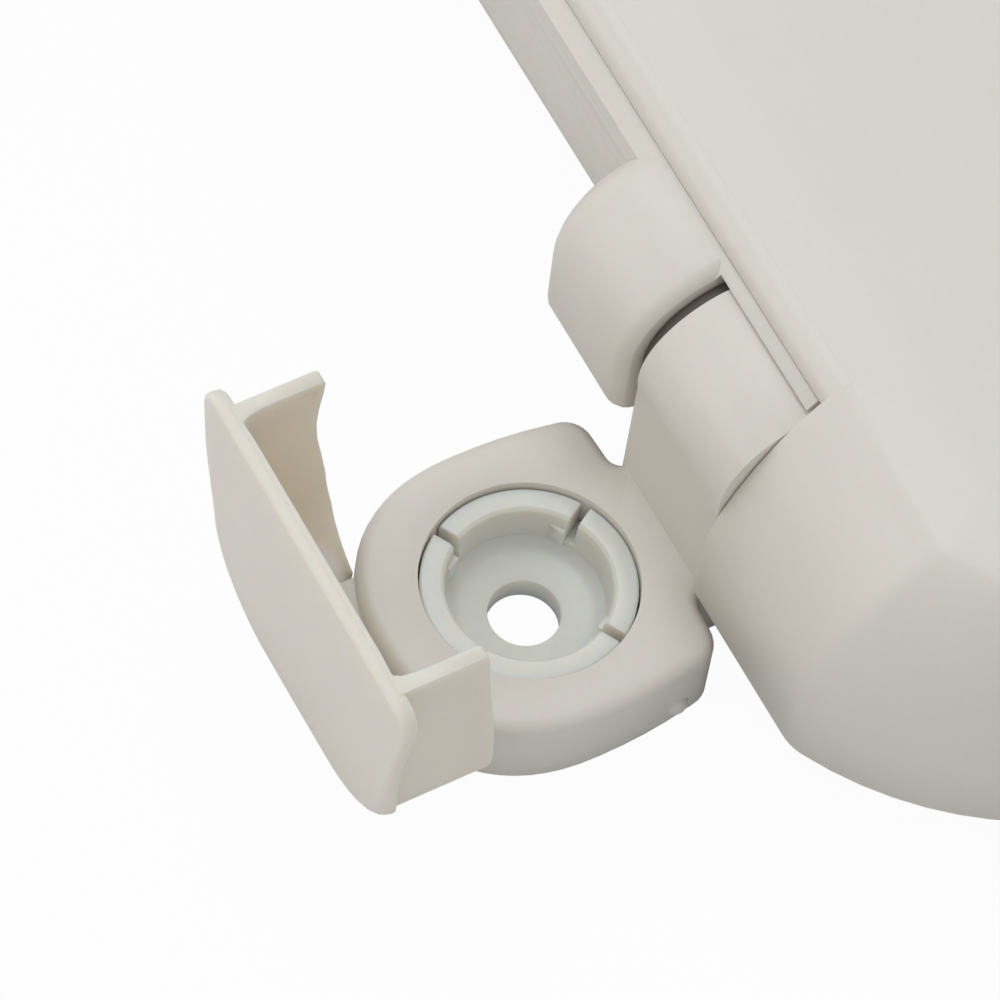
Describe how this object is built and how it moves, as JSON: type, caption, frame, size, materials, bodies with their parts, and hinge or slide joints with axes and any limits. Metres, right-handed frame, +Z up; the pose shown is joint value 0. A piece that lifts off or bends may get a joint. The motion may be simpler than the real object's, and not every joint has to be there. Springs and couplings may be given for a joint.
{
  "type": "toilet seat",
  "caption": "Toilet seat with lid on hinged fixing feet that have flip covers over their bolt recesses; lid shut, covers open.",
  "frame": {"origin": "midway between the two fixing holes, on the ceramic under the feet", "axes": "+X to the sitter's right, +Y to the front of the seat, +Z up"},
  "size_m": [0.368, 0.4687, 0.0561],
  "materials": {
    "moulded_ivory": "satin moulded plastic, warm ivory white",
    "clear_nylon": "natural translucent nylon",
    "pin_steel": "ground steel pin",
    "washer_grey": "dark grey-brown moulded washer",
    "pad_soft": "pale soft elastomer"
  },
  "bodies": {
    "mounting": {"foot_right": "moulded_ivory", "foot_left": "moulded_ivory", "pin_right": "pin_steel", "pin_left": "pin_steel", "spacer_right": "washer_grey", "spacer_left": "washer_grey"},
    "seat": {"seat_bush_right": "clear_nylon", "seat_bush_left": "clear_nylon", "seat": "moulded_ivory", "seat_buffer_front_right": "pad_soft", "seat_buffer_front_left": "pad_soft", "seat_buffer_rear_right": "pad_soft", "seat_buffer_rear_left": "pad_soft"},
    "lid": {"lid_bush_right": "clear_nylon", "lid_bush_left": "clear_nylon", "lid": "moulded_ivory", "lid_buffer_front_right": "pad_soft", "lid_buffer_front_left": "pad_soft", "lid_buffer_rear_right": "pad_soft", "lid_buffer_rear_left": "pad_soft"},
    "cover_right": {"cover_right": "moulded_ivory"},
    "cover_left": {"cover_left": "moulded_ivory"},
    "insert_right": {"insert_right": "clear_nylon"},
    "insert_left": {"insert_left": "clear_nylon"}
  },
  "joints": [
    {"name": "seat_hinge", "type": "hinge", "parent": "mounting", "child": "seat", "pos_m": [0, 0.0334, 0.0354], "axis": [1, 0, 0], "range_deg": [0, 95]},
    {"name": "lid_hinge", "type": "hinge", "parent": "seat", "child": "lid", "pos_m": [0, 0.0334, 0.0354], "axis": [-1, 0, 0], "range_deg": [-100, 0]},
    {"name": "cover_hinge_right", "type": "hinge", "parent": "mounting", "child": "cover_right", "pos_m": [0.0775, -0.0242, 0.0064], "axis": [1, 0, 0], "range_deg": [-90, 0]},
    {"name": "cover_hinge_left", "type": "hinge", "parent": "mounting", "child": "cover_left", "pos_m": [-0.0775, -0.0242, 0.0064], "axis": [1, 0, 0], "range_deg": [-90, 0]},
    {"name": "insert_turn_right", "type": "hinge", "parent": "mounting", "child": "insert_right", "pos_m": [0.0775, 0, 0], "axis": [0, 0, 1], "continuous": true},
    {"name": "insert_turn_left", "type": "hinge", "parent": "mounting", "child": "insert_left", "pos_m": [-0.0775, 0, 0], "axis": [0, 0, 1], "continuous": true}
  ]
}
